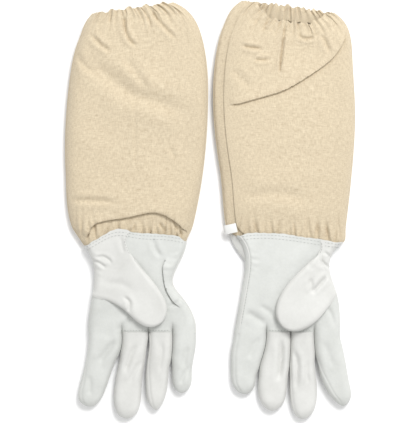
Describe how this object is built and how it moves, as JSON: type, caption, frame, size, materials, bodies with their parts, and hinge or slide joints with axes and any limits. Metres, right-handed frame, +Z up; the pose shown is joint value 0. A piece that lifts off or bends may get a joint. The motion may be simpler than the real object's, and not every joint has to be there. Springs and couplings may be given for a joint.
{
  "type": "beekeeping gloves",
  "caption": "Pair of long protective gloves lying palms up: leather hands with folded thumbs, sewn to gathered canvas sleeves with elasticated mouths.",
  "frame": {"origin": "on the resting surface, in the middle under the pair", "axes": "+Z up, +Y from the fingertips to the sleeve mouths, +X from the right-hand glove to the left-hand glove"},
  "size_m": [0.3442, 0.4915, 0.03],
  "materials": {
    "grey_leather": "soft matte grain leather, pale grey",
    "white_leather": "soft matte grain leather, off-white",
    "canvas": "plain-weave cotton canvas, natural beige",
    "elastic": "braided elastic tape",
    "thread": "sewing thread",
    "label": "smooth woven tape"
  },
  "bodies": {
    "right_hand": {"right_back_panel": "grey_leather", "right_cuff_canvas": "canvas", "right_cuff_stitches": "thread", "right_index_side_wrap": "grey_leather", "right_outer_welt": "grey_leather", "right_palm_panel": "grey_leather", "right_thumb_wing": "white_leather", "right_wrist_elastic": "elastic"},
    "right_index": {"right_index_back": "grey_leather", "right_index_front": "grey_leather", "right_index_sides": "grey_leather"},
    "right_middle": {"right_middle_back": "grey_leather", "right_middle_front": "white_leather", "right_middle_sides": "grey_leather"},
    "right_ring": {"right_ring_back": "grey_leather", "right_ring_front": "white_leather", "right_ring_sides": "grey_leather"},
    "right_little": {"right_little_back": "grey_leather", "right_little_front": "grey_leather", "right_little_sides": "grey_leather"},
    "right_thumb": {"right_thumb_back": "white_leather", "right_thumb_palm_side": "grey_leather", "right_thumb_sides": "grey_leather"},
    "right_sleeve": {"right_elastic_casing": "canvas", "right_mouth_elastic": "elastic", "right_sleeve_back": "canvas", "right_sleeve_front": "canvas", "right_sleeve_side_seams": "canvas"},
    "left_hand": {"left_back_panel": "grey_leather", "left_cuff_canvas": "canvas", "left_cuff_stitches": "thread", "left_index_side_wrap": "grey_leather", "left_outer_welt": "grey_leather", "left_palm_panel": "grey_leather", "left_size_label": "label", "left_thumb_wing": "white_leather", "left_wrist_elastic": "elastic"},
    "left_index": {"left_index_back": "grey_leather", "left_index_front": "grey_leather", "left_index_sides": "grey_leather"},
    "left_middle": {"left_middle_back": "grey_leather", "left_middle_front": "white_leather", "left_middle_sides": "grey_leather"},
    "left_ring": {"left_ring_back": "grey_leather", "left_ring_front": "white_leather", "left_ring_sides": "grey_leather"},
    "left_little": {"left_little_back": "grey_leather", "left_little_front": "grey_leather", "left_little_sides": "grey_leather"},
    "left_thumb": {"left_thumb_back": "white_leather", "left_thumb_palm_side": "grey_leather", "left_thumb_sides": "grey_leather"},
    "left_sleeve": {"left_elastic_casing": "canvas", "left_mouth_elastic": "elastic", "left_sleeve_back": "canvas", "left_sleeve_front": "canvas", "left_sleeve_side_seams": "canvas"}
  },
  "joints": [
    {"name": "left_glove_lift", "type": "slide", "parent": "right_hand", "child": "left_hand", "axis": [0, 0, 1], "range_m": [0, 0.2]},
    {"name": "right_index_curl", "type": "hinge", "parent": "right_hand", "child": "right_index", "pos_m": [-0.1215, -0.144, 0.016], "axis": [-1, 0, 0], "range_deg": [0, 80]},
    {"name": "right_middle_curl", "type": "hinge", "parent": "right_hand", "child": "right_middle", "pos_m": [-0.085, -0.144, 0.016], "axis": [-1, 0, 0], "range_deg": [0, 85]},
    {"name": "right_ring_curl", "type": "hinge", "parent": "right_hand", "child": "right_ring", "pos_m": [-0.056, -0.144, 0.016], "axis": [-1, 0, 0], "range_deg": [0, 85]},
    {"name": "right_little_curl", "type": "hinge", "parent": "right_hand", "child": "right_little", "pos_m": [-0.027, -0.144, 0.016], "axis": [-1, 0, 0], "range_deg": [0, 80]},
    {"name": "right_thumb_fold", "type": "hinge", "parent": "right_hand", "child": "right_thumb", "pos_m": [-0.1082, -0.0788, 0.016], "axis": [-0.7071, -0.7071, 0], "range_deg": [0, 95]},
    {"name": "right_sleeve_bend", "type": "hinge", "parent": "right_hand", "child": "right_sleeve", "pos_m": [-0.088, -0.02, 0.0148], "axis": [1, 0, 0], "range_deg": [0, 80]},
    {"name": "left_index_curl", "type": "hinge", "parent": "left_hand", "child": "left_index", "pos_m": [0.1405, -0.144, 0.016], "axis": [-1, 0, 0], "range_deg": [0, 80]},
    {"name": "left_middle_curl", "type": "hinge", "parent": "left_hand", "child": "left_middle", "pos_m": [0.1105, -0.144, 0.016], "axis": [-1, 0, 0], "range_deg": [0, 85]},
    {"name": "left_ring_curl", "type": "hinge", "parent": "left_hand", "child": "left_ring", "pos_m": [0.083, -0.144, 0.016], "axis": [-1, 0, 0], "range_deg": [0, 85]},
    {"name": "left_little_curl", "type": "hinge", "parent": "left_hand", "child": "left_little", "pos_m": [0.049, -0.144, 0.016], "axis": [-1, 0, 0], "range_deg": [0, 80]},
    {"name": "left_thumb_fold", "type": "hinge", "parent": "left_hand", "child": "left_thumb", "pos_m": [0.1368, -0.0807, 0.016], "axis": [-0.5201, 0.8541, 0], "range_deg": [0, 95]},
    {"name": "left_sleeve_bend", "type": "hinge", "parent": "left_hand", "child": "left_sleeve", "pos_m": [0.092, -0.02, 0.0148], "axis": [1, 0, 0], "range_deg": [0, 80]}
  ]
}
